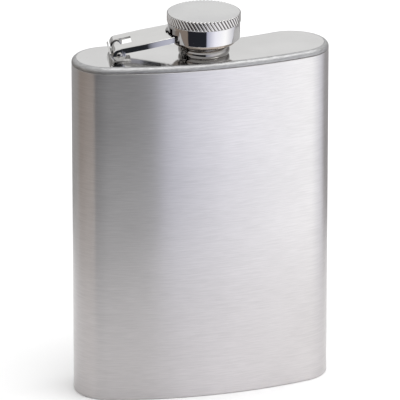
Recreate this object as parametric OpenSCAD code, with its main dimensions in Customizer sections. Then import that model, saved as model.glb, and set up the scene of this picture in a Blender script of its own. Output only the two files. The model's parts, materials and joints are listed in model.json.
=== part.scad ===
// Hip flask with a captive screw cap on a hinged retaining arm.
// Units are millimetres, +Z is up, the convex front faces -Y and the origin is at the middle of the base.

/* [Flask body] */
// Overall width of the body across its two rounded ends
body_w = 95; // [86:1:115]
// Height of the body from the base to the flat of the top plate
body_h = 127; // [90:1:165]
// Thickness of the body from its convex front to its hollow back
body_t = 27; // [24:0.5:33]
// Radius of the convex front face seen from above
front_r = 145; // [110:5:240]
// Thickness of the sheet used for the wall, the top plate and the base plate
wall = 0.8; // [0.6:0.1:1.1]
// Radius of the rounded shoulder that runs round the top plate
shoulder_r = 1.75; // [1.4:0.05:2.2]
// Radius of the small rounding round the foot of the wall
foot_r = 0.5; // [0.2:0.05:0.6]
// Width of each weld bead
weld_h = 0.35; // [0.25:0.05:0.6]
// Depth of each weld line below the face round it
weld_inset = 0.12; // [0.05:0.01:0.2]

/* [Neck] */
// Bore of the neck, where the flask is filled and poured
neck_bore = 14.6; // [12:0.1:15.2]
// Outside diameter of the plain neck tube
neck_d = 16.8; // [16.4:0.1:17]
// Outside diameter over the thread ridges on the neck
thread_d = 17.8; // [17.4:0.1:18]
// Height of the neck above the flat of the top plate
neck_rise = 8.3; // [7.8:0.1:8.7]
// Outside diameter of the ring at the foot of the neck
neck_ring_d = 18.6; // [18:0.1:20]
// Height of the ring at the foot of the neck
neck_ring_h = 3.2; // [2.6:0.1:3.6]
// Radius of the ring's bulging side
neck_ring_r = 2.4; // [2:0.1:4]
// Gap between the ring and the cap when the cap is screwed down
lip_gap = 0.9; // [0.6:0.1:1.2]

/* [Cap] */
// Diameter of the knurled rim of the cap
cap_d = 26.6; // [26.4:0.1:29]
// Height of the knurled rim
rim_h = 3.4; // [3:0.1:6]
// Number of slanted grooves round the rim
knurl_count = 60; // [40:1:64]
// Slant of the grooves from upright
knurl_slant = 33; // [0:1:38]
// Depth of each groove
knurl_depth = 0.3; // [0.2:0.05:0.35]
// Outside diameter of the plain swivel collar below the rim
collar_d = 26; // [25.6:0.1:26.2]
// Height of the swivel collar
collar_h = 6; // [5.5:0.1:6.6]
// Height of the flared lip that holds the collar on the cap
lip_h = 2; // [1.6:0.1:2.1]
// Running clearance between the cap and the collar, on the radius
swivel_gap = 0.05; // [0.03:0.01:0.08]
// Clearance between the cap sleeve and the neck thread, on the radius
neck_gap = 0.45; // [0.42:0.01:0.5]
// Thickness of the sealing disc
gasket_t = 1.2; // [0.8:0.1:1.4]

/* [Hinge and retaining arm] */
// Distance from the cap axis to the base hinge pin
hinge_out = 31.1; // [29:0.1:33]
// Angle of the arm towards the hollow back of the flask
yaw = 9.6; // [5:0.1:12]
// Height of the base hinge pin above the top plate
hinge_rise = 2.8; // [2.7:0.1:3.4]
// Width of the arm over its two flanges
arm_w = 17; // [14:0.5:18]
// Thickness of the sheet the arm is pressed from
arm_t = 0.7; // [0.6:0.05:0.8]
// Depth of the arm flanges
flange_d = 2.2; // [2:0.05:2.4]
// Radius of the two round ears at the base pin
ear_r = 2.3; // [2.2:0.05:2.4]
// How far the arm reaches past the cap pin
arm_past = 3.6; // [2.5:0.1:4]
// Gap between the arm's hollow end and the collar
arm_gap = 0.8; // [0.5:0.1:1.2]
// Length of the slot in the arm past the base pin
slot_past = 5.4; // [4:0.1:8]
// Width of the bracket's knuckle
knuckle_w = 6; // [4:0.5:7]
// Wall of the bracket's knuckle round the pin
knuckle_t = 0.9; // [0.7:0.05:0.9]
// Width of the bracket's foot and stop
foot_w = 14; // [10:0.5:14.5]
// Thickness of the bracket's foot and stop
foot_t = 0.4; // [0.35:0.05:0.45]
// Length of the bracket's foot past the base pin
foot_past = 4.3; // [3:0.1:6]
// Gap between the arm's rolled end and the stop behind it
stop_gap = 0.6; // [0.4:0.1:0.9]
// Diameter of the base hinge pin
base_pin_d = 2.1; // [1.8:0.1:2.2]
// Diameter of the pin through the collar lug
cap_pin_d = 0.7; // [0.6:0.05:0.8]
// Radius of the collar lug round that pin
lug_r = 0.7; // [0.6:0.05:0.75]
// Width of the collar lug
lug_w = 10; // [6:1:12]
// Width and height of the window in the collar
window = 2; // [1:0.5:3]
// Angle of the window from the arm, towards the front
window_turn = 20; // [-30:5:30]
// Running clearance round each pin, on the radius
pin_gap = 0.05; // [0.03:0.01:0.08]

/* [Sub-part shown] */
// One sub-part on its own, or all of them

/* [Hidden] */
$fn = 180;

// plan of the body: a band of constant thickness bent round a centre behind the flask, with round ends
// (its half angle and middle radius are kept to two decimals, so that band and ends meet exactly)
bend = round(asin((body_w - body_t) / (2 * front_r - body_t)) * 100) / 100;
mid_r = round((body_w - body_t) / 2 / sin(bend) * 100) / 100;
end_y = mid_r * (1 - cos(bend));
y_mid = end_y / 2;

// height of the top weld line
top_seam = body_h - shoulder_r - 0.15 - weld_h;

// heights up the neck and the cap
lip_z = body_h + neck_ring_h + lip_gap;
collar_z = lip_z + lip_h + 0.05;
rim_z = collar_z + collar_h + 0.05;
neck_top = body_h + neck_rise;
gasket_z = neck_top + 0.05;
seat_z = gasket_z + gasket_t;

// radii inside the cap
sleeve_in = thread_d / 2 + neck_gap;
sleeve_out = sleeve_in + 1.2;
skirt_out = sleeve_out + 0.65;
collar_in = skirt_out + swivel_gap;
lip_r = collar_in + 0.65;

// half widths of the thread ridges and grooves, at the root and at the crest
ridge_root = 0.5;
ridge_crest = 0.15;

// the two pins of the arm, and the slope of the arm between them
pin_x = -hinge_out;
pin_z = body_h + hinge_rise;
lug_h = 1.1;
lug_out = 1.6;
lug_x = -collar_d / 2 - lug_out;
lug_z = collar_z + lug_h / 2;
span = sqrt(pow(lug_x - pin_x, 2) + pow(lug_z - pin_z, 2));
drop = ear_r - arm_t - lug_r - 0.1;
reach = sqrt(span * span - drop * drop);
slope = atan2(lug_z - pin_z, lug_x - pin_x) - asin(drop / span);
knuckle_r = base_pin_d / 2 + pin_gap + knuckle_t;
stop_in = ear_r + stop_gap;

// everything is drawn about the cap axis and then moved so that the origin is under the middle of the body
module placed() { translate([0, -y_mid, 0]) children(); }

// the arm and its hinge lie along a line turned towards the hollow back
module along_arm() { placed() rotate([0, 0, -yaw]) children(); }

// half of a section of the band, from radius a to radius b, with rounded upper corners of radius c
module band_section(a, b, h, c) {
    difference() {
        translate([a, 0]) square([b - a, h]);
        if (c > 0) {
            translate([a - 1, h - c]) difference() { square([c + 1, c + 1]); translate([c + 1, 0]) circle(c); }
            translate([b - c, h - c]) difference() { square([c + 1, c + 1]); circle(c); }
        }
    }
}

// half of a section of a round end, out to radius b, with one rounded upper corner of radius c
module end_section(b, h, c) {
    difference() {
        square([b, h]);
        if (c > 0) translate([b - c, h - c]) difference() { square([c + 1, c + 1]); circle(c); }
    }
}

// solid block of the body plan, set in from the outside by d, of height h, with rounded top edge c:
// two mirrored halves, each an end and a stretch of band that runs a little past the middle
module slab(d, h, c = 0) {
    r = body_t / 2 - d;
    past = 2;
    translate([0, mid_r, 0]) for (s = [-1, 1]) rotate([0, 0, s * bend]) {
        rotate_extrude(angle = bend + past, start = s > 0 ? 270 - bend - past : 270)
            band_section(mid_r - r, mid_r + r, h, c);
        translate([0, -mid_r, 0])
            rotate_extrude(angle = 180, start = s > 0 ? -90 : 90)
                end_section(r, h, c);
    }
}

module body_shell() {
    color("silver") placed() translate([0, 0, top_seam]) mirror([0, 0, 1]) difference() {
        slab(0, top_seam, foot_r);
        translate([0, 0, -1]) slab(wall, top_seam + 2);
    }
}

module top_plate() {
    z = top_seam + weld_h;
    color("gainsboro") placed() difference() {
        translate([0, 0, z]) slab(0, body_h - z, shoulder_r);
        translate([0, 0, z - 1]) slab(wall, body_h - z + 1 - wall, shoulder_r - wall);
        translate([0, 0, body_h - 3]) cylinder(d = neck_d, h = 6);
    }
}

// flat plate let into the foot of the wall, with its weld bead round it
module base_plate() {
    color("silver") placed() slab(wall + weld_h, wall);
}

module top_weld() {
    color("dimgray") placed() translate([0, 0, top_seam]) difference() {
        slab(weld_inset, weld_h);
        translate([0, 0, -1]) slab(wall, weld_h + 2);
    }
}

module base_weld() {
    color("dimgray") placed() translate([0, 0, weld_inset]) difference() {
        slab(wall, wall - weld_inset);
        translate([0, 0, -1]) slab(wall + weld_h, wall + 2);
    }
}

module neck_tube() {
    pitch = (neck_top - lip_z - 0.4) / 3;
    color("silver") placed() difference() {
        union() {
            translate([0, 0, body_h - wall - 1.2]) cylinder(d = neck_d, h = neck_rise + wall + 1.2);
            for (i = [0:2]) translate([0, 0, lip_z + 0.2 + (i + 0.5) * pitch]) rotate_extrude()
                polygon([[neck_bore / 2 + 0.2, -ridge_root], [neck_d / 2, -ridge_root],
                    [thread_d / 2, -ridge_crest], [thread_d / 2, ridge_crest],
                    [neck_d / 2, ridge_root], [neck_bore / 2 + 0.2, ridge_root]]);
        }
        translate([0, 0, body_h - 5]) cylinder(d = neck_bore, h = neck_rise + 10);
        translate([0, 0, neck_top - 0.3]) cylinder(d1 = neck_bore, d2 = neck_bore + 0.8, h = 0.4);
    }
}

// ring with a bulging side, pressed on round the neck
module neck_ring() {
    color("silver") placed() translate([0, 0, body_h]) rotate_extrude() intersection() {
        translate([neck_d / 2, 0]) square([neck_ring_d / 2 - neck_d / 2, neck_ring_h]);
        translate([neck_ring_d / 2 - neck_ring_r, neck_ring_h / 2]) circle(neck_ring_r);
    }
}

// bracket: a knuckle round the base pin on a wide foot, with a curved stop behind the arm's rolled end
module hinge_bracket() {
    color("silver") along_arm() translate([pin_x, 0, pin_z]) rotate([90, 0, 0]) difference() {
        union() {
            linear_extrude(knuckle_w, center = true) {
                circle(knuckle_r);
                translate([-knuckle_r, -hinge_rise]) square([2 * knuckle_r, hinge_rise]);
            }
            linear_extrude(foot_w, center = true) {
                difference() {
                    circle(stop_in + foot_t);
                    circle(stop_in);
                    translate([-stop_in - 1, 0.3]) square([2 * stop_in + 2, stop_in + 1]);
                    translate([-1.2, -stop_in - 1]) square([stop_in + 3, stop_in + 2]);
                    translate([-stop_in - 1, -hinge_rise - 2]) square([2 * stop_in + 2, 2]);
                }
                translate([-1.8, -hinge_rise]) square([foot_past + 1.8, foot_t]);
            }
        }
        cylinder(r = base_pin_d / 2 + pin_gap, h = foot_w + 2, center = true);
    }
}

// side view of the arm, measured from the base pin along the arm
module arm_side() {
    circle(ear_r);
    translate([0, ear_r - flange_d]) square([reach + arm_past, flange_d]);
}

// the space between the flanges, open below and behind the rolled end
module arm_hollow() {
    circle(ear_r - arm_t);
    translate([0, -ear_r - 1]) square([reach + arm_past + 1, 2 * ear_r + 1 - arm_t]);
    translate([-ear_r - 1, -ear_r - 1]) square([ear_r + 1.1, ear_r + 1]);
}

module retaining_arm() {
    slot = knuckle_w / 2 + 0.3;
    color("lightgray") along_arm() difference() {
        translate([pin_x, 0, pin_z]) rotate([0, -slope, 0]) difference() {
            rotate([90, 0, 0]) linear_extrude(arm_w, center = true) arm_side();
            rotate([90, 0, 0]) linear_extrude(arm_w - 2 * arm_t, center = true) arm_hollow();
            translate([-ear_r - 1, -slot, 0]) cube([ear_r + 1 + slot_past, 2 * slot, ear_r + 1]);
            rotate([90, 0, 0]) cylinder(d = base_pin_d, h = arm_w + 2, center = true);
            translate([reach, 0, drop]) rotate([90, 0, 0])
                cylinder(d = cap_pin_d, h = arm_w + 2, center = true);
        }
        translate([0, 0, body_h]) cylinder(r = collar_d / 2 + arm_gap, h = rim_z - body_h);
    }
}

module base_pin() {
    color("darkgray") along_arm() translate([pin_x, 0, pin_z]) rotate([90, 0, 0]) {
        cylinder(d = base_pin_d, h = arm_w, center = true);
        for (s = [0, 1]) mirror([0, 0, s]) translate([0, 0, arm_w / 2])
            cylinder(d1 = base_pin_d, d2 = base_pin_d - 0.6, h = 0.3);
    }
}

module cap_pin() {
    color("darkgray") along_arm() translate([lug_x, 0, lug_z]) rotate([90, 0, 0])
        cylinder(d = cap_pin_d, h = arm_w, center = true);
}

module swivel_collar() {
    color("lightgray") along_arm() difference() {
        union() {
            translate([0, 0, collar_z]) rotate_extrude()
                polygon([[collar_in, 0], [collar_d / 2 - 0.3, 0], [collar_d / 2, 0.3],
                    [collar_d / 2, collar_h - 0.1], [collar_d / 2 - 0.1, collar_h], [collar_in, collar_h]]);
            translate([lug_x, -lug_w / 2, lug_z - lug_h / 2]) cube([lug_out + 2.5, lug_w, lug_h]);
            translate([lug_x, 0, lug_z]) rotate([90, 0, 0]) cylinder(r = lug_r, h = lug_w, center = true);
        }
        translate([0, 0, collar_z - 1]) cylinder(r = collar_in, h = collar_h + 2);
        translate([lug_x, 0, lug_z]) rotate([90, 0, 0])
            cylinder(d = cap_pin_d + 2 * pin_gap, h = lug_w + 2, center = true);
        rotate([0, 0, window_turn]) translate([-collar_d / 2 - 1, -window / 2, collar_z + collar_h / 2 - 0.3])
            cube([collar_d / 2 - collar_in + 3, window, window]);
    }
}

module cap_head() {
    pitch = PI * cap_d / knurl_count;
    groove = pitch * 0.36;
    color("silver") placed() difference() {
        union() {
            translate([0, 0, rim_z]) rotate_extrude()
                polygon([[0, 0], [cap_d / 2 - 0.15, 0], [cap_d / 2, 0.15], [cap_d / 2, rim_h - 0.3],
                    [cap_d / 2 - 0.3, rim_h], [0, rim_h]]);
            translate([0, 0, seat_z]) cylinder(r = skirt_out, h = rim_z - seat_z + 0.1);
            translate([0, 0, lip_z + lip_h]) difference() {
                cylinder(r = skirt_out, h = seat_z - lip_z - lip_h + 0.1);
                translate([0, 0, -1]) cylinder(r = sleeve_out, h = seat_z - lip_z - lip_h + 1);
            }
        }
        for (i = [0:knurl_count - 1]) rotate([0, 0, i * 360 / knurl_count])
            translate([cap_d / 2 - knurl_depth + groove, 0, rim_z + rim_h / 2]) rotate([knurl_slant, 0, 0])
                cylinder(r = groove, h = rim_h * 2, center = true, $fn = 24);
    }
}

module cap_sleeve() {
    pitch = (seat_z - gasket_t - lip_z - 0.6) / 3;
    color("silver") placed() difference() {
        union() {
            translate([0, 0, lip_z + 0.1]) cylinder(r = sleeve_out, h = seat_z - lip_z - 0.1);
            translate([0, 0, lip_z]) rotate_extrude() intersection() {
                translate([sleeve_in, 0]) square([lip_r - sleeve_in, lip_h]);
                union() {
                    translate([lip_r - lip_h, lip_h]) circle(lip_h);
                    square([lip_r - lip_h, lip_h]);
                }
            }
        }
        translate([0, 0, lip_z - 1]) cylinder(r = sleeve_in, h = seat_z - lip_z + 2);
        for (i = [0:2]) translate([0, 0, lip_z + 0.3 + (i + 0.5) * pitch]) rotate_extrude()
            polygon([[sleeve_in - 1, -ridge_root], [sleeve_in, -ridge_root], [sleeve_in + 0.35, -ridge_crest],
                [sleeve_in + 0.35, ridge_crest], [sleeve_in, ridge_root], [sleeve_in - 1, ridge_root]]);
    }
}

module cap_gasket() {
    color("whitesmoke") placed() translate([0, 0, gasket_z]) cylinder(r = sleeve_in, h = gasket_t);
}

body_shell();
top_plate();
base_plate();
top_weld();
base_weld();
neck_tube();
neck_ring();
hinge_bracket();
retaining_arm();
base_pin();
cap_pin();
swivel_collar();
cap_head();
cap_sleeve();
cap_gasket();
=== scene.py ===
"""Looks of the hip flask: numpy surfaces laid over the CAD nodes, in metres, in the CAD frame."""
import json
import math

import bmesh
import bpy
import numpy as np
from mathutils import Matrix, Vector


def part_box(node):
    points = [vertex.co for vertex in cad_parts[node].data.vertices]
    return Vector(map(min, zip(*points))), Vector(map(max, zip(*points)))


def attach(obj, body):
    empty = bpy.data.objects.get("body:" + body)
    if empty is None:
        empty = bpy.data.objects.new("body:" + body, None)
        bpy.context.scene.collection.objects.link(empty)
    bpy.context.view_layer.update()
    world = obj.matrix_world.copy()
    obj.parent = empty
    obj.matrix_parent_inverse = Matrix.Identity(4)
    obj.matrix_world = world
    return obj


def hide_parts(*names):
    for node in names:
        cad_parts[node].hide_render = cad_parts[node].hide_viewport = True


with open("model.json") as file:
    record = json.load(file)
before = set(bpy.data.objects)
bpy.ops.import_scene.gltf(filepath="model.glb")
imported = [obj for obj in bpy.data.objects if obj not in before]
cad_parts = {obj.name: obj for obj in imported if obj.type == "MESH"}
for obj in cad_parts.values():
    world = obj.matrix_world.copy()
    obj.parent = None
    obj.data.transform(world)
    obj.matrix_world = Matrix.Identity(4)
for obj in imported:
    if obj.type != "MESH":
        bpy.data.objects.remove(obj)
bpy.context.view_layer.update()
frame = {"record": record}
joints = {joint["name"]: joint for joint in frame["record"]["behaviour"]["joints"]}

# ---------------------------------------------------------------- sizes, from the frame where it has them

MM = 0.001
body_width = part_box("body_shell")[1][0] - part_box("body_shell")[0][0]
body_thick = 27 * MM
front_radius = 145 * MM
wall = 0.8 * MM
shoulder = 1.75 * MM
foot_round = 0.5 * MM
body_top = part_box("top_plate")[1][2]
shell_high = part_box("body_shell")[1][2]

weld_gap = 0.35 * MM
weld_inset = 0.12 * MM

neck_radius = 8.4 * MM
neck_bore = 7.3 * MM
thread_pitch = 1.45 * MM

rim_height = 3.4 * MM
knurl_teeth = 60
knurl_lean = math.radians(33)
knurl_depth = 0.34 * MM
skirt_radius = 11.2 * MM
sleeve_radius = 10.55 * MM
sleeve_bore = 9.35 * MM
lip_height = 2 * MM
running_gap = 0.05 * MM
collar_radius = 13 * MM
collar_bore = 11.25 * MM
window_half = 1 * MM
window_turn = math.radians(20)
lug_radius = 0.7 * MM
lug_width = 10 * MM

ear_radius = 2.3 * MM
arm_sheet = 0.7 * MM
arm_half = 8.5 * MM
flange_depth = 2.2 * MM
slot_end = 5.4 * MM
slot_half = 3.3 * MM
past_lug = 3.6 * MM
hollow_radius = 13.8 * MM
base_pin_radius = 1.05 * MM
cap_pin_radius = 0.35 * MM
knuckle_radius = 2 * MM
knuckle_width = 6 * MM
foot_width = 14 * MM
foot_sheet = 0.4 * MM
foot_past = 4.3 * MM
stop_radius = 2.9 * MM
stop_top = 0.3 * MM

end_radius = body_thick / 2
bend = math.asin((body_width - body_thick) / (2 * front_radius - body_thick))
mid_radius = (body_width - body_thick) / 2 / math.sin(bend)
axis_y = joints["cap_spin"]["pos_m"][1]
arm_pivot = np.array(joints["arm_swing"]["pos_m"])
lug_pivot = np.array(joints["collar_tilt"]["pos_m"])

# level unit vectors: across the arm, and along it from its base pin to the cap axis
across_arm = -np.array(joints["arm_swing"]["axis"])
UP = np.array([0, 0, 1.0])
along_arm = np.cross(across_arm, UP)


# ---------------------------------------------------------------- surfaces

merge_within = 2e-7


def object_from(name, parts, material, body, nodes, smooth=35, capped=False, bevel=0.0, second=None):
    """One mesh object from grids of points: each part is (points, wrap_rows, wrap_columns, keep).

    A grid's quads join neighbouring points along its rows and columns, and keep, if given, says which
    quads stay. Capped closes each part's first and last row with one flat face. Second, if given, is the
    material of the last part. Coincident points are merged, which closes seams and poles, and faces are
    turned outwards.
    """
    points, faces, start = [], [], 0
    for grid, wrap_rows, wrap_columns, keep in parts:
        rows, columns = grid.shape[:2]
        last_part = len(faces)
        index = start + np.arange(rows * columns).reshape(rows, columns)
        if capped:
            faces += [index[0].tolist(), index[-1].tolist()]
        if wrap_rows:
            index = np.vstack([index, index[:1]])
        if wrap_columns:
            index = np.hstack([index, index[:, :1]])
        quads = np.stack([index[:-1, :-1], index[:-1, 1:], index[1:, 1:], index[1:, :-1]], axis=-1)
        faces += (quads[keep] if keep is not None else quads.reshape(-1, 4)).tolist()
        points.append(grid.reshape(-1, 3))
        start += rows * columns
    mesh = bpy.data.meshes.new(name)
    mesh.from_pydata(np.concatenate(points), [], faces)
    if second:
        mesh.polygons.foreach_set("material_index", (np.arange(len(faces)) >= last_part).astype(np.int32))
    work = bmesh.new()
    work.from_mesh(mesh)
    bmesh.ops.remove_doubles(work, verts=work.verts, dist=merge_within)
    bmesh.ops.dissolve_degenerate(work, edges=work.edges, dist=merge_within / 20)
    bmesh.ops.recalc_face_normals(work, faces=work.faces)
    work.to_mesh(mesh)
    work.free()
    mesh.shade_smooth()
    mesh.set_sharp_from_angle(angle=math.radians(smooth))
    mesh.materials.append(material)
    if second:
        mesh.materials.append(second)
    piece = bpy.data.objects.new(name, mesh)
    bpy.context.scene.collection.objects.link(piece)
    if bevel:
        worn = piece.modifiers.new("Broken edges", "BEVEL")
        worn.width, worn.segments, worn.limit_method = bevel, 2, "ANGLE"
        worn.angle_limit = math.radians(50)
        worn.harden_normals = True
    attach(piece, body)
    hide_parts(*nodes)
    return piece


def arc(centre, radius, start, end, count):
    """Points of a circular arc, from one angle to the other in degrees, as an array of (x, y) rows."""
    angle = np.radians(np.linspace(start, end, count))
    return np.column_stack([centre[0] + radius * np.cos(angle), centre[1] + radius * np.sin(angle)])


def chain(*pieces):
    """One profile from points and arcs, end to end."""
    return np.vstack([np.atleast_2d(np.array(piece, float)) for piece in pieces])


def plan_loop(inset, height):
    """Closed outline of the body at an inset and a height: four arcs, front, right end, back and left end.

    A point on an arc is its centre plus its radius times its direction. The inset shortens the radius of
    the three convex arcs and lengthens that of the hollow back.
    """
    mid, tip = 90, 60
    turn = math.degrees(bend)
    end_y = mid_radius * (1 - math.cos(bend))
    right, left = (mid_radius * math.sin(bend), end_y), (-mid_radius * math.sin(bend), end_y)
    arcs = [((0, mid_radius), mid_radius + end_radius, 1, 270 - turn, 270 + turn, mid),
            (right, end_radius, 1, turn - 90, turn + 90, tip),
            ((0, mid_radius), mid_radius - end_radius, -1, 270 + turn, 270 - turn, mid),
            (left, end_radius, 1, 90 - turn, 270 - turn, tip)]
    rows = []
    for centre, radius, side, start, end, count in arcs:
        angle = np.radians(np.linspace(start, end, count, endpoint=False))
        reach = radius - side * inset
        rows.append(np.column_stack([centre[0] + reach * np.cos(angle),
                                     centre[1] + reach * np.sin(angle)]))
    flat = np.vstack(rows)
    return np.column_stack([flat[:, 0], flat[:, 1] + axis_y, np.full(len(flat), height)])


def swept_plan(profile):
    """Grid whose rows are the body outline at each (inset, height) of the profile."""
    return np.stack([plan_loop(inset, height) for inset, height in profile])


def turned(profile, count=192):
    """Grid of a profile of (radius, height) rows turned round the cap axis."""
    angle = np.linspace(0, 2 * np.pi, count, endpoint=False)
    radius, height = profile[:, :1], profile[:, 1:]
    return np.stack([radius * np.cos(angle), axis_y + radius * np.sin(angle), height + 0 * angle], axis=-1)


def tilted(rise):
    """Unit vectors along and square to the arm when it rises by an angle in radians."""
    lift, run = math.sin(rise), math.cos(rise)
    return along_arm * run + UP * lift, UP * run - along_arm * lift


def extruded(outline, width, origin, edge):
    """Grid of a side outline carried across the arm's width, centred on the origin, with rounded edges.

    A row is the outline, in metres along and above the arm, drawn in square to itself by what a quarter
    circle of the edge radius takes at that step across.
    """
    ahead = np.roll(outline, -1, axis=0) - np.roll(outline, 1, axis=0)
    outward = np.column_stack([ahead[:, 1], -ahead[:, 0]])
    outward /= np.maximum(np.linalg.norm(outward, axis=1, keepdims=True), 1e-9)
    after = np.roll(outline, -1, axis=0)
    outward *= np.sign(np.sum(outline[:, 0] * after[:, 1] - after[:, 0] * outline[:, 1]))
    turn = np.radians([0, 30, 60, 90])
    drawn = np.concatenate([edge * (1 - np.sin(turn)), edge * (1 - np.sin(turn))[::-1]])
    near = edge * (1 - np.cos(turn)) - width / 2
    step = np.concatenate([near, -near[::-1]])
    shape = outline[None] - outward[None] * drawn[:, None, None]
    return origin + shape[..., :1] * along_arm + shape[..., 1:] * UP + step[:, None, None] * across_arm


def rod(profile, origin, count=48):
    """Grid of a profile of (radius, distance across) rows turned round an axis that lies across the arm."""
    angle = np.linspace(0, 2 * np.pi, count, endpoint=False)[:, None]
    round_it = np.cos(angle) * along_arm + np.sin(angle) * UP
    return origin + profile[:, None, :1] * round_it + profile[:, None, 1:] * across_arm


# ---------------------------------------------------------------- shader groups

def group_of(name, inputs, outputs):
    """Empty shader group with float inputs (name, default) and outputs (name, type)."""
    group = bpy.data.node_groups.new(name, "ShaderNodeTree")
    for label, value in inputs:
        socket = group.interface.new_socket(label, in_out="INPUT", socket_type="NodeSocketFloat")
        socket.default_value = value
    for label, kind in outputs:
        group.interface.new_socket(label, in_out="OUTPUT", socket_type=kind)
    return group, group.nodes.new("NodeGroupInput"), group.nodes.new("NodeGroupOutput")


def math_node(tree, operation, first, second):
    """A Math node between two sockets or numbers, and its result."""
    node = tree.nodes.new("ShaderNodeMath")
    node.operation = operation
    for slot, value in zip(node.inputs, (first, second)):
        if isinstance(value, (int, float)):
            slot.default_value = value
        else:
            tree.links.new(value, slot)
    return node.outputs[0]


def brushed_group():
    """Brushed steel: noise drawn out level and squeezed in height gives streaks and their small relief."""
    group, inside, outside = group_of(
        "Brushed grain", [("Along", 60.0), ("Across", 5000.0), ("Relief", 0.1)],
        [("Streaks", "NodeSocketFloat"), ("Normal", "NodeSocketVector")])
    place = group.nodes.new("ShaderNodeTexCoord")
    stretch = group.nodes.new("ShaderNodeCombineXYZ")
    scaled = group.nodes.new("ShaderNodeVectorMath")
    scaled.operation = "MULTIPLY"
    for axis, label in zip("XYZ", ("Along", "Along", "Across")):
        group.links.new(inside.outputs[label], stretch.inputs[axis])
    group.links.new(place.outputs["Object"], scaled.inputs[0])
    group.links.new(stretch.outputs[0], scaled.inputs[1])
    fine = group.nodes.new("ShaderNodeTexNoise")
    fine.inputs["Scale"].default_value = 1.0
    fine.inputs["Detail"].default_value = 4.0
    fine.inputs["Roughness"].default_value = 0.65
    group.links.new(scaled.outputs[0], fine.inputs["Vector"])
    relief = group.nodes.new("ShaderNodeBump")
    relief.inputs["Distance"].default_value = 0.00002
    group.links.new(inside.outputs["Relief"], relief.inputs["Strength"])
    group.links.new(fine.outputs["Fac"], relief.inputs["Height"])
    group.links.new(fine.outputs["Fac"], outside.inputs["Streaks"])
    group.links.new(relief.outputs[0], outside.inputs["Normal"])
    return group


def handling_group():
    """Handling marks: broad soft patches and a few hair scratches, as two masks from 0 to 1."""
    group, inside, outside = group_of(
        "Handling marks", [("Patch size", 40.0), ("Scratch size", 900.0)],
        [("Patches", "NodeSocketFloat"), ("Scratches", "NodeSocketFloat")])
    place = group.nodes.new("ShaderNodeTexCoord")
    patch = group.nodes.new("ShaderNodeTexNoise")
    patch.inputs["Detail"].default_value = 3.0
    group.links.new(place.outputs["Object"], patch.inputs["Vector"])
    group.links.new(inside.outputs["Patch size"], patch.inputs["Scale"])
    group.links.new(patch.outputs["Fac"], outside.inputs["Patches"])
    turn = group.nodes.new("ShaderNodeMapping")
    turn.inputs["Rotation"].default_value = (0.5, 0.9, 0.6)
    turn.inputs["Scale"].default_value = (1.0, 0.03, 0.06)
    group.links.new(place.outputs["Object"], turn.inputs["Vector"])
    hair = group.nodes.new("ShaderNodeTexNoise")
    hair.inputs["Detail"].default_value = 1.0
    group.links.new(turn.outputs[0], hair.inputs["Vector"])
    group.links.new(inside.outputs["Scratch size"], hair.inputs["Scale"])
    thin = group.nodes.new("ShaderNodeMapRange")
    thin.inputs["From Min"].default_value = 0.68
    thin.inputs["From Max"].default_value = 0.74
    group.links.new(hair.outputs["Fac"], thin.inputs["Value"])
    group.links.new(thin.outputs[0], outside.inputs["Scratches"])
    return group


brushed = brushed_group()
handling = handling_group()


# ---------------------------------------------------------------- materials

def spread(tree, value, low, high):
    """value, from 0.3 to 0.7, mapped between low and high."""
    node = tree.nodes.new("ShaderNodeMapRange")
    node.interpolation_type = "SMOOTHSTEP"
    node.inputs["From Min"].default_value = 0.3
    node.inputs["From Max"].default_value = 0.7
    node.inputs["To Min"].default_value = low
    node.inputs["To Max"].default_value = high
    tree.links.new(value, node.inputs["Value"])
    return node.outputs[0]


def tinted(tree, value, dark, light):
    """Colour between dark and light, by value."""
    node = tree.nodes.new("ShaderNodeMix")
    node.data_type = "RGBA"
    node.inputs["A"].default_value = (*dark, 1)
    node.inputs["B"].default_value = (*light, 1)
    tree.links.new(value, node.inputs["Factor"])
    return node.outputs["Result"]


def multiplied(tree, first, second):
    """One colour times another."""
    node = tree.nodes.new("ShaderNodeMix")
    node.data_type = "RGBA"
    node.blend_type = "MULTIPLY"
    node.inputs["Factor"].default_value = 1.0
    tree.links.new(first, node.inputs["A"])
    tree.links.new(second, node.inputs["B"])
    return node.outputs["Result"]


def steel(name, dark, light, rough, patch_size=40.0, scratch=0.04):
    """Polished or satin steel: colour and roughness drift with handling patches, with hair scratches."""
    material = bpy.data.materials.new(name)
    material.use_nodes = True
    tree = material.node_tree
    shader = tree.nodes["Principled BSDF"]
    shader.inputs["Metallic"].default_value = 1.0
    marks = tree.nodes.new("ShaderNodeGroup")
    marks.node_tree = handling
    marks.inputs["Patch size"].default_value = patch_size
    tree.links.new(tinted(tree, spread(tree, marks.outputs["Patches"], 0.0, 1.0), dark, light),
                   shader.inputs["Base Color"])
    base = spread(tree, marks.outputs["Patches"], rough[0], rough[1])
    scratched = math_node(tree, "MULTIPLY", marks.outputs["Scratches"], scratch)
    tree.links.new(math_node(tree, "ADD", base, scratched), shader.inputs["Roughness"])
    return material, tree, shader


def shade_by(tree, shader, tint):
    """The shader's colour so far, times a tint."""
    so_far = shader.inputs["Base Color"].links[0].from_socket
    tree.links.new(multiplied(tree, so_far, tint), shader.inputs["Base Color"])


def brush(tree, shader, along, across, relief):
    """Brushed relief on a shader, and the streaks behind it as a socket."""
    grain = tree.nodes.new("ShaderNodeGroup")
    grain.node_tree = brushed
    for label, value in (("Along", along), ("Across", across), ("Relief", relief)):
        grain.inputs[label].default_value = value
    tree.links.new(grain.outputs["Normal"], shader.inputs["Normal"])
    return grain.outputs["Streaks"]


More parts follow.
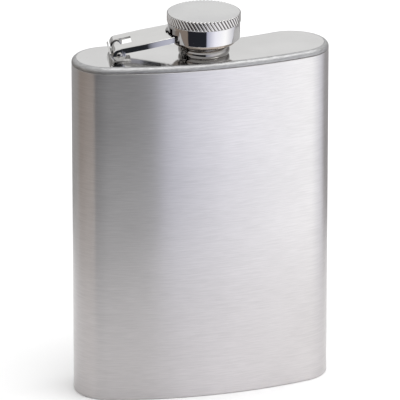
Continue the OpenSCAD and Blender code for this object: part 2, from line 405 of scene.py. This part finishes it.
def brushed_wall():
    """Satin wall brushed level round the body: reflections smear upright, with level streaks in tone.

    Towards the foot the colour is a painted shade, a shade darker and warmer, standing in for a reflection
    of the surroundings.
    """
    material, tree, shader = steel("Brushed wall", (0.57, 0.56, 0.565), (0.64, 0.63, 0.635),
                                   (0.285, 0.33), 18.0, 0.0)
    tone = spread(tree, brush(tree, shader, 150.0, 3200.0, 0.1), 0.0, 1.0)
    shade_by(tree, shader, tinted(tree, tone, (0.94, 0.94, 0.94), (1.06, 1.06, 1.06)))
    place = tree.nodes.new("ShaderNodeTexCoord")
    split = tree.nodes.new("ShaderNodeSeparateXYZ")
    tree.links.new(place.outputs["Object"], split.inputs[0])
    # Painted shade: the colour turns a shade darker and warmer towards the foot, a reflection of the
    # surroundings painted into the steel.
    height = tree.nodes.new("ShaderNodeMapRange")
    height.interpolation_type = "SMOOTHSTEP"
    height.inputs["From Max"].default_value = 0.75 * shell_high
    tree.links.new(split.outputs["Z"], height.inputs["Value"])
    shade_by(tree, shader, tinted(tree, height.outputs[0], (0.90, 0.88, 0.875), (1.0, 1.0, 1.0)))
    upright = tree.nodes.new("ShaderNodeCombineXYZ")
    upright.inputs["Z"].default_value = 1.0
    tree.links.new(upright.outputs[0], shader.inputs["Tangent"])
    shader.inputs["Anisotropic"].default_value = 0.85
    return material


def shoulder_finish():
    """Satin shoulder, brushed round its curve: fine level streaks in colour and relief. Its colour is a
    painted shade, far darker than the wall's steel.
    """
    # Painted shade: satin steel set far darker than the wall's, standing in for the dark reflections on the
    # rounded shoulder.
    material, tree, shader = steel("Satin shoulder", (0.34, 0.34, 0.345), (0.42, 0.42, 0.42),
                                   (0.46, 0.54), 30.0, 0.0)
    tone = spread(tree, brush(tree, shader, 500.0, 4000.0, 0.9), 0.0, 1.0)
    shade_by(tree, shader, tinted(tree, tone, (0.80, 0.80, 0.80), (1.18, 1.18, 1.18)))
    return material


def polished(name, dark, light, rough):
    """Mirror-polished steel with faint patches and hair scratches."""
    return steel(name, dark, light, rough)[0]


def knurled_rim():
    """Polished knurl with painted shade low in its grooves, which show by their distance from the cap's
    axis.

    Nearer to the axis the colour turns bright again, which keeps most of the broken edges above and below
    the knurl bright. The deepest line of a groove is up to half bright for the same reason, and the painted
    shade also darkens the crests where they meet the cap's top.
    """
    material, tree, shader = steel("Knurled rim", (0.60, 0.59, 0.585), (0.68, 0.67, 0.665),
                                   (0.05, 0.09))
    groove_root = 13.02 * MM
    place = tree.nodes.new("ShaderNodeTexCoord")
    level = tree.nodes.new("ShaderNodeVectorMath")
    level.operation = "MULTIPLY"
    level.inputs[1].default_value = (1.0, 1.0, 0.0)
    shift = tree.nodes.new("ShaderNodeVectorMath")
    shift.operation = "SUBTRACT"
    shift.inputs[1].default_value = (0.0, axis_y, 0.0)
    reach = tree.nodes.new("ShaderNodeVectorMath")
    reach.operation = "LENGTH"
    tree.links.new(place.outputs["Object"], shift.inputs[0])
    tree.links.new(shift.outputs[0], level.inputs[0])
    tree.links.new(level.outputs[0], reach.inputs[0])
    # Painted shade: the colour darkens down into each groove.
    depth = tree.nodes.new("ShaderNodeMapRange")
    depth.interpolation_type = "SMOOTHSTEP"
    depth.inputs["From Min"].default_value = groove_root
    depth.inputs["From Max"].default_value = groove_root + 0.2 * MM
    tree.links.new(reach.outputs["Value"], depth.inputs["Value"])
    edge = tree.nodes.new("ShaderNodeMapRange")
    edge.inputs["From Min"].default_value = groove_root - 0.03 * MM
    edge.inputs["From Max"].default_value = groove_root - 0.09 * MM
    tree.links.new(reach.outputs["Value"], edge.inputs["Value"])
    bright = math_node(tree, "MAXIMUM", depth.outputs[0], edge.outputs[0])
    shade_by(tree, shader, tinted(tree, bright, (0.16, 0.15, 0.15), (1.0, 1.0, 1.0)))
    return material


def satin(name, dark, light, rough, relief):
    """Satin steel with a very fine even grain."""
    material, tree, shader = steel(name, dark, light, rough, 60.0, 0.05)
    brush(tree, shader, 2500.0, 2500.0, relief)
    return material


def rubber():
    """Pale silicone of the sealing disc, slightly mottled."""
    material = bpy.data.materials.new("Sealing disc")
    material.use_nodes = True
    tree = material.node_tree
    shader = tree.nodes["Principled BSDF"]
    marks = tree.nodes.new("ShaderNodeGroup")
    marks.node_tree = handling
    marks.inputs["Patch size"].default_value = 600.0
    tree.links.new(tinted(tree, spread(tree, marks.outputs["Patches"], 0.0, 1.0),
                          (0.62, 0.61, 0.58), (0.74, 0.73, 0.70)), shader.inputs["Base Color"])
    tree.links.new(spread(tree, marks.outputs["Patches"], 0.42, 0.58), shader.inputs["Roughness"])
    return material


wall_steel = brushed_wall()
shoulder_steel = shoulder_finish()
plate_steel = polished("Polished plate", (0.60, 0.595, 0.59), (0.66, 0.655, 0.65), (0.06, 0.09))
base_steel = satin("Satin base", (0.50, 0.50, 0.50), (0.60, 0.60, 0.60), (0.28, 0.36), 0.2)
# Weld line: darker than the plate steel, partly the weld's own tone and partly painted shade in the seam.
seam_steel = satin("Weld line", (0.20, 0.19, 0.18), (0.34, 0.33, 0.32), (0.35, 0.5), 0.5)
# Painted shade: polished steel set far darker than the plate's, standing in for the dark reflections on the
# neck and its ring.
neck_steel = polished("Polished neck with painted shade", (0.24, 0.23, 0.22), (0.34, 0.33, 0.32), (0.05, 0.09))
arm_steel = polished("Polished arm", (0.60, 0.595, 0.585), (0.67, 0.665, 0.655), (0.07, 0.11))
hinge_steel = polished("Bright strap", (0.58, 0.57, 0.56), (0.66, 0.65, 0.64), (0.08, 0.13))
# Painted shade: steel set darker than the arm's, standing in for the dark reflections on the pins.
pin_steel = polished("Pin steel", (0.34, 0.33, 0.32), (0.46, 0.45, 0.44), (0.14, 0.22))
collar_steel = polished("Polished collar", (0.60, 0.595, 0.60), (0.66, 0.655, 0.66), (0.03, 0.05))
cap_satin = satin("Satin cap top", (0.60, 0.60, 0.60), (0.66, 0.66, 0.655), (0.30, 0.36), 0.12)
knurl_steel = knurled_rim()
# Painted shade: polished steel set dark and warm, standing in for the shaded reflections on the sleeve and
# the cap's skirt.
sleeve_steel = polished("Turned sleeve", (0.26, 0.22, 0.18), (0.36, 0.31, 0.27), (0.08, 0.14))
disc_rubber = rubber()


# ---------------------------------------------------------------- flask body

def body_wall():
    """Seamless wall: a thin band with a rounded foot and a broken top edge, carried round the plan."""
    high, r = shell_high, 0.12 * MM
    profile = chain(
        (wall, 0), (foot_round + 0.05 * MM, 0), arc((foot_round, foot_round), foot_round, 270, 180, 9),
        (0, foot_round + 0.3 * MM), (0, high / 2), (0, high - 3 * r), arc((r, high - r), r, 180, 90, 5),
        (wall, high))
    object_from("Body_wall", [(swept_plan(profile), True, True, None)],
                wall_steel, "flask", ["body_shell"])


def top_dish():
    """Top plate: skirt and rounded shoulder, then a flat from the body outline to the neck's circle.

    In the flat a point is part of the way from the outline to the circle at the same turn about the neck.
    The shoulder and skirt are satin, and the flat is polished.
    """
    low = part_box("top_plate")[0][2]
    r, edge, hole = shoulder, 0.1 * MM, neck_radius
    rim = chain(
        (wall, low), arc((edge, low + edge), edge, 270, 180, 4),
        arc((r, body_top - r), r, 180, 93, 21))
    outer = swept_plan(rim)
    last = plan_loop(r, body_top)
    around = np.arctan2(last[:, 1] - axis_y, last[:, 0])
    circle = np.column_stack([hole * np.cos(around), axis_y + hole * np.sin(around),
                              np.full(len(last), body_top)])
    share = np.linspace(0, 1, 12)[1:, None, None]
    flat = last * (1 - share) + circle * share
    under = circle - [0, 0, wall]
    inner = plan_loop(shoulder, body_top - wall)
    lower = plan_loop(wall, body_top - shoulder)
    rounded = np.concatenate([[under, inner, lower], outer, [last]])
    level = np.concatenate([[last], flat, [under]])
    object_from("Top_plate", [(rounded, False, True, None), (level, False, True, None)],
                shoulder_steel, "flask", ["top_plate"], second=plate_steel)


def base_dish():
    """Flat base plate let into the foot of the wall, closed to its middle line."""
    low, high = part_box("base_plate")[0][2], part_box("base_plate")[1][2]
    inset, edge = wall + weld_gap, 0.1 * MM
    rim = chain((end_radius - 0.02 * MM, high), (inset, high), (inset, low + edge),
                arc((inset + edge, low + edge), edge, 180, 270, 4), (end_radius - 0.02 * MM, low))
    object_from("Base_plate", [(swept_plan(rim), True, True, None)], base_steel, "flask", ["base_plate"])


def weld_beads():
    """The top seam is a fine ring just behind the faces; the base seam fills the gap round the plate."""
    low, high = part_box("top_weld")[0][2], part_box("top_weld")[1][2]
    half = (high - low) / 2
    crest = chain(arc((weld_inset + half, low + half), half, 270, 90, 9), (wall, high), (wall, low))
    object_from("Top_seam", [(swept_plan(crest), True, True, None)], seam_steel, "flask", ["top_weld"])
    low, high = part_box("base_weld")[0][2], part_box("base_weld")[1][2]
    half = weld_gap / 2
    crest = chain(arc((wall + half, low + half), half, 180, 360, 9),
                  (wall + 2 * half, high), (wall, high))
    object_from("Base_seam", [(swept_plan(crest), True, True, None)], seam_steel, "flask", ["base_weld"])


body_wall()
top_dish()
base_dish()
weld_beads()


# ---------------------------------------------------------------- neck

def thread_grid(radius, crest, low, high, pitch, count=160, rows=90):
    """Screw surface: the radius rises by a rounded crest wherever height less pitch times turn is whole.

    The crest fades in and out over the first and last half turn, as a rolled thread does.
    """
    angle = np.linspace(0, 2 * np.pi, count, endpoint=False)
    height = np.linspace(low, high, rows)[:, None]
    phase = (height - low) / pitch - angle / (2 * np.pi)
    wave = np.clip(0.5 + 0.9 * np.cos(2 * np.pi * phase), 0, 1)
    fade = np.clip((height - low) / (0.6 * pitch), 0, 1) * np.clip((high - height) / (0.6 * pitch), 0, 1)
    reach = radius + crest * wave * fade
    return np.stack([reach * np.cos(angle), axis_y + reach * np.sin(angle), height + 0 * angle], axis=-1)


def neck():
    """Neck tube with a rolled thread outside, a rounded lip and a plain bore."""
    low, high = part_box("neck_tube")[0][2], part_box("neck_tube")[1][2]
    bore, lip = neck_bore, 0.35 * MM
    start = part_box("neck_ring")[1][2] + 0.5 * MM
    below = turned(chain((bore, low), (neck_radius, low), (neck_radius, start)), 160)
    thread = thread_grid(neck_radius, 0.48 * MM, start, high - 0.5 * MM, thread_pitch)
    above = turned(chain((neck_radius, high - 0.45 * MM),
                         arc((neck_radius - lip, high - lip), lip, 0, 90, 5),
                         arc((bore + lip, high - lip), lip, 90, 180, 5), (bore, high - 3 * MM)), 160)
    grid = np.concatenate([below, thread, above])
    object_from("Neck_tube", [(grid, True, True, None)], neck_steel, "flask", ["neck_tube"])


def neck_foot():
    """Ring at the foot of the neck, with a bulging side that is an arc of a circle."""
    low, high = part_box("neck_ring")[0][2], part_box("neck_ring")[1][2]
    outside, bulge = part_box("neck_ring")[1][0], 2.4 * MM
    half = math.degrees(math.asin((high - low) / 2 / bulge))
    side = arc((outside - bulge, (low + high) / 2), bulge, -half, half - 6, 22)
    top = side[-1]
    profile = chain((neck_radius, low), side, (top[0] - 0.1 * MM, high - 0.04 * MM),
                    (top[0] - 0.25 * MM, high), (neck_radius, high))
    object_from("Neck_ring", [(turned(profile), True, True, None)], neck_steel, "flask", ["neck_ring"])


neck()
neck_foot()


# ---------------------------------------------------------------- cap

def knurled_cap():
    """Cap head: satin flat top, bright rim with slanted rounded grooves, plain skirt below.

    On the rim the radius drops by the groove depth times a rounded V wave of the turn, whose phase moves
    with height so that the grooves lean.
    """
    low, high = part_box("cap_head")[0][2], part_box("cap_head")[1][2]
    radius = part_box("cap_head")[1][0]
    rim_low = high - rim_height
    columns = knurl_teeth * 14
    angle = np.linspace(0, 2 * np.pi, columns, endpoint=False)
    height = np.linspace(rim_low, high, 27)[:, None]
    lean = math.tan(knurl_lean) * (height - rim_low) / (2 * np.pi * radius)
    phase = knurl_teeth * (angle / (2 * np.pi) + lean)
    wave = np.abs(2 * (phase % 1) - 1)
    groove = np.clip(1 - wave / 0.72, 0, 1)
    up = (height - rim_low) / (high - rim_low)
    broken_above = 0.28 * MM * np.clip((up - 0.91) / 0.09, 0, 1) ** 2
    broken_below = 0.12 * MM * np.clip((0.05 - up) / 0.05, 0, 1)
    reach = radius - (broken_above + broken_below) - knurl_depth * groove ** 0.8
    rim = np.stack([reach * np.cos(angle), axis_y + reach * np.sin(angle), height + 0 * angle], axis=-1)
    inside = turned(chain((0, rim_low), (radius - 0.6 * MM, rim_low)), columns)
    top = turned(chain((radius - 0.62 * MM, high), (radius - 0.7 * MM, high), (radius * 0.5, high),
                       (0, high)), columns)
    side = np.concatenate([inside, rim, top[:1]])
    object_from("Cap_head", [(side, False, True, None), (top, False, True, None)],
                knurl_steel, "cap", ["cap_head"], smooth=60, second=cap_satin)
    skirt = turned(chain((sleeve_radius, low), (skirt_radius, low), (skirt_radius, rim_low),
                         (sleeve_radius, rim_low)))
    object_from("Cap_skirt", [(skirt, True, True, None)], sleeve_steel, "cap", ["cap_head"])


def collar():
    """Swivel collar: a polished band with broken edges, a pierced window and a lug round the cap pin."""
    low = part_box("cap_sleeve")[0][2] + lip_height + running_gap
    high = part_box("cap_head")[1][2] - rim_height - running_gap
    outside, inside, r = collar_radius, collar_bore, 0.15 * MM
    sill, top = (low + high) / 2 - 0.3 * MM, (low + high) / 2 + 1.7 * MM
    half = math.asin(window_half / outside)
    middle = math.atan2(-along_arm[1], -along_arm[0]) + window_turn
    angle = middle + np.concatenate([np.linspace(half, 2 * np.pi - half, 180),
                                     np.linspace(-half, half, 7)[1:-1]])
    profile = chain(arc((outside - r, low + r), r, 270, 360, 5), (outside, sill), (outside, top),
                    arc((outside - r, high - r), r, 0, 90, 5), (inside, high), (inside, top),
                    (inside, sill), (inside, low))
    grid = np.stack([profile[:, :1] * np.cos(angle), axis_y + profile[:, :1] * np.sin(angle),
                     profile[:, 1:] + 0 * angle], axis=-1)
    keep = np.ones((len(profile), len(angle)), bool)
    keep[5, 179:] = False
    keep[13, 179:] = False
    edge = np.arange(179, 186) % len(angle)
    reveals = [np.stack([grid[row, edge], grid[other, edge]]) for row, other in ((5, 14), (6, 13))]
    reveals += [np.stack([grid[[5, 6], column], grid[[14, 13], column]])
                for column in (edge[0], edge[-1])]
    parts = [(grid, True, True, keep)] + [(part, False, False, None) for part in reveals]
    object_from("Swivel_collar", parts, collar_steel, "collar", ["swivel_collar"])
    reach = np.hypot(*(lug_pivot[:2] - [0, axis_y])) - 12.35 * MM
    flat = 0.55 * MM
    turn = math.degrees(math.asin(flat / lug_radius))
    rim = chain(arc((0, 0), lug_radius, turn, 360 - turn, 22), (reach, -flat), (reach, flat))
    object_from("Collar_lug", [(extruded(rim, lug_width, lug_pivot, 0.1 * MM), False, True, None)],
                collar_steel, "collar", ["swivel_collar"], capped=True)


def sleeve():
    """Cap sleeve: flared lip below the collar, plain outside and a threaded bore."""
    low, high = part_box("cap_sleeve")[0][2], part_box("cap_sleeve")[1][2]
    lip, bore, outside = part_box("cap_sleeve")[1][0], sleeve_bore, sleeve_radius
    tall = lip_height
    outer = turned(chain((bore, high), (outside, high), (outside, low + tall), (lip, low + tall),
                         arc((lip - tall, low + tall), tall, 0, -90, 14), (bore, low)), 160)
    thread = thread_grid(bore, 0.3 * MM, low + 0.4 * MM, high - 1.3 * MM, thread_pitch)
    grid = np.concatenate([outer, thread])
    object_from("Cap_sleeve", [(grid, True, True, None)], sleeve_steel, "cap", ["cap_sleeve"])


def gasket():
    """Sealing disc with a slightly dished face."""
    low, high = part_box("cap_gasket")[0][2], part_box("cap_gasket")[1][2]
    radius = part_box("cap_gasket")[1][0]
    profile = chain((0, high), (radius, high), (radius, low + 0.1 * MM), (radius - 0.1 * MM, low),
                    (radius * 0.72, low), (radius * 0.68, low + 0.08 * MM), (0, low + 0.08 * MM))
    object_from("Sealing_disc", [(turned(profile, 96), False, True, None)],
                disc_rubber, "cap", ["cap_gasket"])


knurled_cap()
collar()
sleeve()
gasket()


# ---------------------------------------------------------------- arm, bracket and pins

def retaining_arm():
    """Pressed arm: a channel with a hollow end at the collar and a rolled, slotted end at the pin.

    At each station along the arm the section is a U: a flange, a small bend, the top, a bend and a flange.
    Over the rolled end the top is a circle round the pin, and the ears below it are the same circle. The
    channel is widest in its middle. The far end follows a circle round the cap axis.
    """
    ear, sheet, bend_r = ear_radius, arm_sheet, 0.3 * MM
    run = np.linalg.norm(lug_pivot[:2] - arm_pivot[:2])
    lift = lug_pivot[2] - arm_pivot[2]
    drop = ear - sheet - (lug_radius + 0.1 * MM)
    rise = math.atan2(lift, run) - math.asin(drop / math.hypot(run, lift))
    length = math.sqrt(run ** 2 + lift ** 2 - drop ** 2) + past_lug
    to_axis = np.linalg.norm(arm_pivot[:2] - [0, axis_y])

    tail = 22
    quarter = np.linspace(0.03, np.pi / 2, 18)
    lead = np.concatenate([-ear * np.cos(quarter), ear * np.sin(np.linspace(0, np.pi / 2, 16))[1:],
                           np.linspace(ear + 0.2 * MM, slot_end, 8), np.full(tail, slot_end)])[:, None]
    slot_rows = len(lead) - tail
    share = np.concatenate([np.zeros(slot_rows), np.linspace(0, 1, tail + 1)[1:]])[:, None]

    up_flange = np.linspace(0, 1, 22)
    turn = np.linspace(0, np.pi / 2, 7)[1:]
    side = np.linspace(1, 0, 6)[1:]
    middle = np.linspace(1, -1, 7)[1:-1]
    one_side = len(up_flange) + len(turn) + len(side)

    def section(half, low, high, corner):
        """Distances across and heights of the U, by half its width, lower and upper level, and corner."""
        flange = low + up_flange * (high - corner - low)
        bend_y, bend_z = half - corner * (1 - np.cos(turn)), high - corner * (1 - np.sin(turn))
        top = slot_half + side * (half - corner - slot_half)
        y = np.hstack([half + 0 * flange, bend_y, top, slot_half * middle + 0 * half])
        z = np.hstack([flange, bend_z, high + 0 * top, high + 0 * slot_half * middle])
        return np.hstack([y, -y[:, :one_side][:, ::-1]]), np.hstack([z, z[:, :one_side][:, ::-1]])

    along = lead + share * (length - slot_end)
    belly = np.clip((along - 1.5 * MM) / (7.5 * MM), 0, 1)
    waist = np.clip((along - 10 * MM) / (10 * MM), 0, 1)
    widen = 8.15 * MM + 0.35 * MM * belly - 0.5 * MM * waist ** 1.3
    top = np.sqrt(ear ** 2 - np.minimum(lead, 0) ** 2)
    low = np.where(lead < ear, -np.sqrt(np.maximum(ear ** 2 - lead ** 2, 0)), ear - flange_depth)
    inner = ear - sheet
    ceiling = np.where(lead < 0, np.sqrt(np.maximum(inner ** 2 - np.minimum(lead, 0) ** 2, 0)), inner)
    y_out, z_out = section(widen, low, top, np.minimum(bend_r, 0.3 * (top - low)))
    y_in, z_in = section(widen - sheet, low, ceiling, 0.05 * MM * np.minimum(1, ceiling / inner))

    slant, square = tilted(rise)

    def placed(y, z):
        """World points of section points, with the far end drawn to its circle and the ears domed."""
        reach = to_axis - np.sqrt(hollow_radius ** 2 - np.minimum(np.abs(y), arm_half) ** 2)
        end = np.minimum((reach + z * math.sin(rise)) / math.cos(rise), length)
        x = lead + share * (end - slot_end)
        dome = 0.16 * MM * np.clip(1 - (x ** 2 + z ** 2) / ear ** 2, 0, 1)
        y = y + np.sign(y) * dome * (np.abs(y) > widen - 0.01 * MM)
        return arm_pivot + x[..., None] * slant + z[..., None] * square + y[..., None] * across_arm

    outer, under = placed(y_out, z_out), placed(y_in, z_in)
    first = one_side - 1
    last = first + len(middle) + 1
    keep = np.ones((len(lead) - 1, y_out.shape[1] - 1), bool)
    keep[:slot_rows - 1, first:last] = False
    edges = [np.stack([outer[:, 0], under[:, 0]]), np.stack([outer[:, -1], under[:, -1]]),
             np.stack([outer[-1], under[-1]]),
             np.stack([outer[0, :first + 1], under[0, :first + 1]]),
             np.stack([outer[0, last:], under[0, last:]]),
             np.stack([outer[:slot_rows, first], under[:slot_rows, first]]),
             np.stack([outer[:slot_rows, last], under[:slot_rows, last]]),
             np.stack([outer[slot_rows - 1, first:last + 1], under[slot_rows - 1, first:last + 1]])]
    parts = [(outer, False, False, keep), (under, False, False, keep)]
    parts += [(edge, False, False, None) for edge in edges]
    object_from("Retaining_arm", parts, arm_steel, "arm", ["retaining_arm"], bevel=0.07 * MM)


def bracket():
    """Bracket: a solid knuckle round the pin, and a foot that curves up into a stop behind the arm."""
    rise = arm_pivot[2] - body_top
    loop = chain(arc((0, 0), knuckle_radius, 0, 180, 40),
                 (-knuckle_radius, -rise), (knuckle_radius, -rise))
    outer, inner, lip, sheet = stop_radius + foot_sheet, stop_radius, stop_top, foot_sheet

    def turn_at(radius, height):
        """Angle in degrees at which a circle of that radius passes the height, on its left side."""
        return 180 - math.degrees(math.asin(height / radius))

    foot = chain(
        arc((0, 0), outer, turn_at(outer, lip), turn_at(outer, -rise), 18), (foot_past, -rise),
        (foot_past, sheet - rise),
        arc((0, 0), inner, turn_at(inner, sheet - rise), turn_at(inner, lip), 16))
    block = extruded(loop, knuckle_width, arm_pivot, 0.15 * MM)
    object_from("Bracket_knuckle", [(block, False, True, None)],
                hinge_steel, "flask", ["hinge_bracket"], capped=True)
    object_from("Bracket_foot", [(extruded(foot, foot_width, arm_pivot, 0.1 * MM), False, True, None)],
                hinge_steel, "flask", ["hinge_bracket"], capped=True)


def pins():
    """Pins across the arm: the base pin has domed heads, and the cap pin ends inside the flanges."""
    radius, half = base_pin_radius, arm_half
    shank, flatter = half - 0.02 * MM, 0.34
    head = arc((0, 0), radius, 0, 90, 12) * [1, flatter] + [0, shank]
    profile = chain(head[::-1], (radius, half - 0.4 * MM), (radius, -half + 0.4 * MM), head * [1, -1])
    object_from("Base_pin", [(rod(profile, arm_pivot), False, True, None)],
                pin_steel, "arm", ["base_pin"])
    radius, half, edge = cap_pin_radius, 8.1 * MM, 0.05 * MM
    profile = chain((0, half), (radius - edge, half), (radius, half - edge),
                    (radius, -half + edge), (radius - edge, -half), (0, -half))
    object_from("Cap_pin", [(rod(profile, lug_pivot, 24), False, True, None)],
                pin_steel, "arm", ["cap_pin"])


retaining_arm()
bracket()
pins()


# ---------------------------------------------------------------- camera, floor and light

def camera():
    """Long lens a little above the flask and to its left."""
    around, above = math.radians(-15.37), math.radians(19.79)
    level = math.cos(above)
    back = Vector((math.sin(around) * level, -math.cos(around) * level, math.sin(above)))
    right = Vector((math.cos(around), math.sin(around), 0))
    up = back.cross(right)
    aim = Vector((0, axis_y, 60 * MM)) + right * (-1.38 * MM) + up * (10.19 * MM)
    distance = 2.153
    lens = bpy.data.cameras.new("Camera")
    lens.sensor_width, lens.lens = 36.0, 534.2
    lens.clip_start, lens.clip_end = 0.1, 20
    eye = bpy.data.objects.new("Camera", lens)
    facing = Matrix((right, up, back)).transposed().to_4x4()
    eye.matrix_world = Matrix.Translation(aim + back * distance) @ facing
    bpy.context.scene.collection.objects.link(eye)
    bpy.context.scene.camera = eye


def staged(name, grid, material):
    """A grid as an object of the studio."""
    rows, columns = grid.shape[:2]
    index = np.arange(rows * columns).reshape(rows, columns)
    quads = np.stack([index[:-1, :-1], index[:-1, 1:], index[1:, 1:], index[1:, :-1]], axis=-1)
    mesh = bpy.data.meshes.new(name)
    mesh.from_pydata(grid.reshape(-1, 3), [], quads.reshape(-1, 4).tolist())
    mesh.materials.append(material)
    thing = bpy.data.objects.new(name, mesh)
    bpy.context.scene.collection.objects.link(thing)
    return thing


def floor():
    """Large pale matt floor."""
    side = np.linspace(-4, 4, 9)
    x, y = np.meshgrid(side, side)
    material = bpy.data.materials.new("Floor")
    material.use_nodes = True
    shader = material.node_tree.nodes["Principled BSDF"]
    shader.inputs["Base Color"].default_value = (0.93, 0.93, 0.93, 1)
    shader.inputs["Roughness"].default_value = 0.6
    staged("Floor", np.stack([x, y, 0 * x], axis=-1), material)


def tent():
    """Ring of reflector cards seen only in reflections, with a colour for each direction in degrees."""
    radius, tall = 185 * MM, 165 * MM
    angle = np.linspace(0, 2 * np.pi, 181)
    grid = np.stack([np.stack([radius * np.sin(angle), -radius * np.cos(angle), 0 * angle + z], axis=-1)
                     for z in (0.5 * MM, tall)])
    material = bpy.data.materials.new("Reflector cards")
    material.use_nodes = True
    tree = material.node_tree
    tree.nodes.clear()
    out = tree.nodes.new("ShaderNodeOutputMaterial")
    glow = tree.nodes.new("ShaderNodeEmission")
    ramp = tree.nodes.new("ShaderNodeValToRGB")
    ring = tree.nodes.new("ShaderNodeUVMap")
    ring.uv_map = "Round"
    split = tree.nodes.new("ShaderNodeSeparateXYZ")
    tree.links.new(ring.outputs[0], split.inputs[0])
    tree.links.new(split.outputs["X"], ramp.inputs["Fac"])
    tree.links.new(ramp.outputs["Color"], glow.inputs["Color"])
    glow.inputs["Strength"].default_value = 1.5
    tree.links.new(glow.outputs[0], out.inputs["Surface"])
    cards = [(-180, (0.30, 0.30, 0.30)), (-120, (0.26, 0.25, 0.24)), (-110, (0.20, 0.165, 0.14)),
             (-66, (0.20, 0.165, 0.14)), (-64, (0.016, 0.016, 0.02)), (-8, (0.016, 0.018, 0.022)),
             (-5, (0.40, 0.41, 0.50)), (20, (0.83, 0.83, 0.90)), (55, (1.0, 1.0, 1.0)),
             (88, (0.62, 0.62, 0.66)), (104, (0.28, 0.27, 0.27)), (170, (0.30, 0.30, 0.30))]
    while len(ramp.color_ramp.elements) < len(cards):
        ramp.color_ramp.elements.new(0.5)
    for stop, (direction, colour) in zip(ramp.color_ramp.elements, cards):
        stop.position = (direction + 180) / 360
        stop.color = (*colour, 1)
    ring_object = staged("Reflector_cards", grid, material)
    layer = ring_object.data.uv_layers.new(name="Round")
    corners = np.zeros(len(ring_object.data.loops), np.int32)
    ring_object.data.loops.foreach_get("vertex_index", corners)
    share = ((angle / (2 * np.pi) + 0.5) % 1.0)
    columns = corners % len(angle)
    across = share[columns].reshape(-1, 4)
    across = np.where(across.max(axis=1, keepdims=True) - across > 0.5, across + 1, across).reshape(-1)
    unrolled = np.column_stack([across, corners // len(angle)]).astype(np.float32)
    layer.data.foreach_set("uv", unrolled.ravel())
    for kind in ("visible_camera", "visible_diffuse", "visible_shadow", "visible_transmission"):
        setattr(ring_object, kind, False)


def lights():
    """Even white surroundings and one broad soft light above."""
    world = bpy.data.worlds.new("Studio")
    world.use_nodes = True
    world.node_tree.nodes["Background"].inputs["Color"].default_value = (1, 1, 1, 1)
    world.node_tree.nodes["Background"].inputs["Strength"].default_value = 0.95
    bpy.context.scene.world = world
    lamp = bpy.data.lights.new("Overhead", "AREA")
    lamp.shape, lamp.size, lamp.size_y = "RECTANGLE", 0.9, 0.7
    lamp.energy = 6
    above = bpy.data.objects.new("Overhead", lamp)
    above.matrix_world = Matrix.Translation((0.3, -0.2, 1.1)) @ Matrix.Rotation(math.radians(12), 4, "Y")
    bpy.context.scene.collection.objects.link(above)


camera()
floor()
tent()
lights()
bpy.context.scene.view_settings.view_transform = "Standard"
